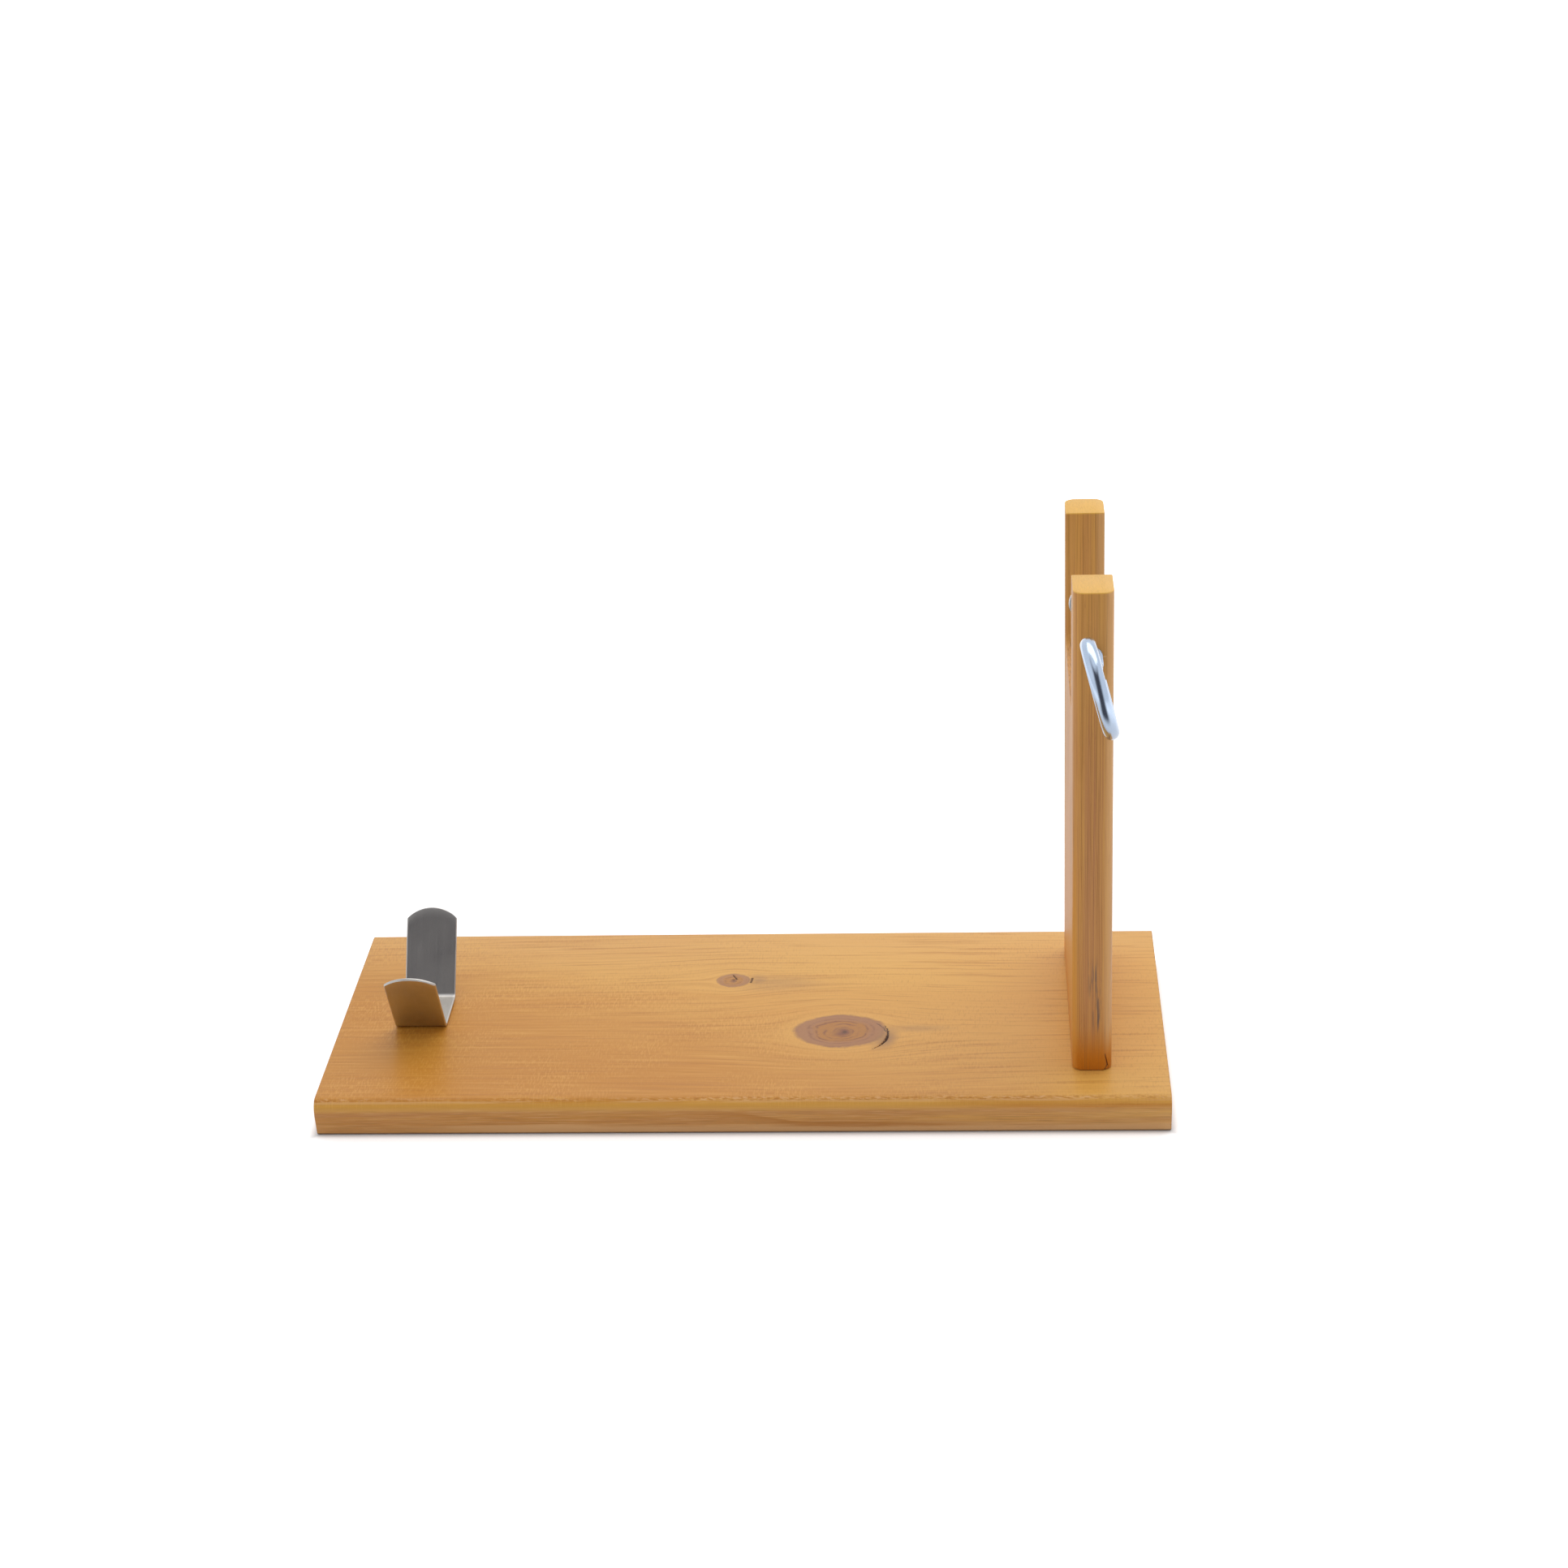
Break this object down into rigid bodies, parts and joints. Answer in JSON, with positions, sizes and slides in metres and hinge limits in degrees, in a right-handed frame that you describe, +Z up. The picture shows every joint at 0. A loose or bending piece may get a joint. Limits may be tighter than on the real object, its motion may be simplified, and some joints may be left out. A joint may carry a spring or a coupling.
{
  "type": "ham holder stand",
  "caption": "Pine base board with a forked upright and an eye-bolt clamp at one end and a bent steel cradle at the other, to hold a whole ham for carving.",
  "frame": {"origin": "middle of the base board's underside", "axes": "+X along the base board towards the forked upright, +Y from the eye of the clamp screw towards its pad, +Z up"},
  "size_m": [0.4, 0.221, 0.2563],
  "materials": {
    "base_pine": "varnished pine, satin",
    "upright_pine": "varnished pine, satin",
    "stainless_strip": "satin stainless steel",
    "zinc_screw": "zinc plated",
    "insert_brass": "plain brass",
    "pad_steel": "turned, zinc plated",
    "bright_steel": "bright zinc plated wire"
  },
  "bodies": {
    "stand": {"base_board": "base_pine", "fork_upright": "upright_pine", "upright_screw_front": "zinc_screw", "upright_screw_middle": "zinc_screw", "upright_screw_rear": "zinc_screw", "cradle_strip": "stainless_strip", "cradle_screw_front": "zinc_screw", "cradle_screw_rear": "zinc_screw", "threaded_insert": "insert_brass"},
    "pad": {"pressure_pad": "pad_steel"},
    "clamp": {"clamp_screw": "bright_steel"}
  },
  "joints": [
    {"name": "clamp_advance", "type": "slide", "parent": "stand", "child": "pad", "axis": [0, 1, 0], "range_m": [-0.0351, 0.0138]},
    {"name": "clamp_turn", "type": "hinge", "parent": "pad", "child": "clamp", "pos_m": [0.1641, 0, 0.2265], "axis": [0, 1, 0], "range_deg": [-10080, 3960]}
  ],
  "couplings": [
    {"joint": "clamp_advance", "follows": "clamp_turn", "m_per_rad": 0.00019894}
  ]
}
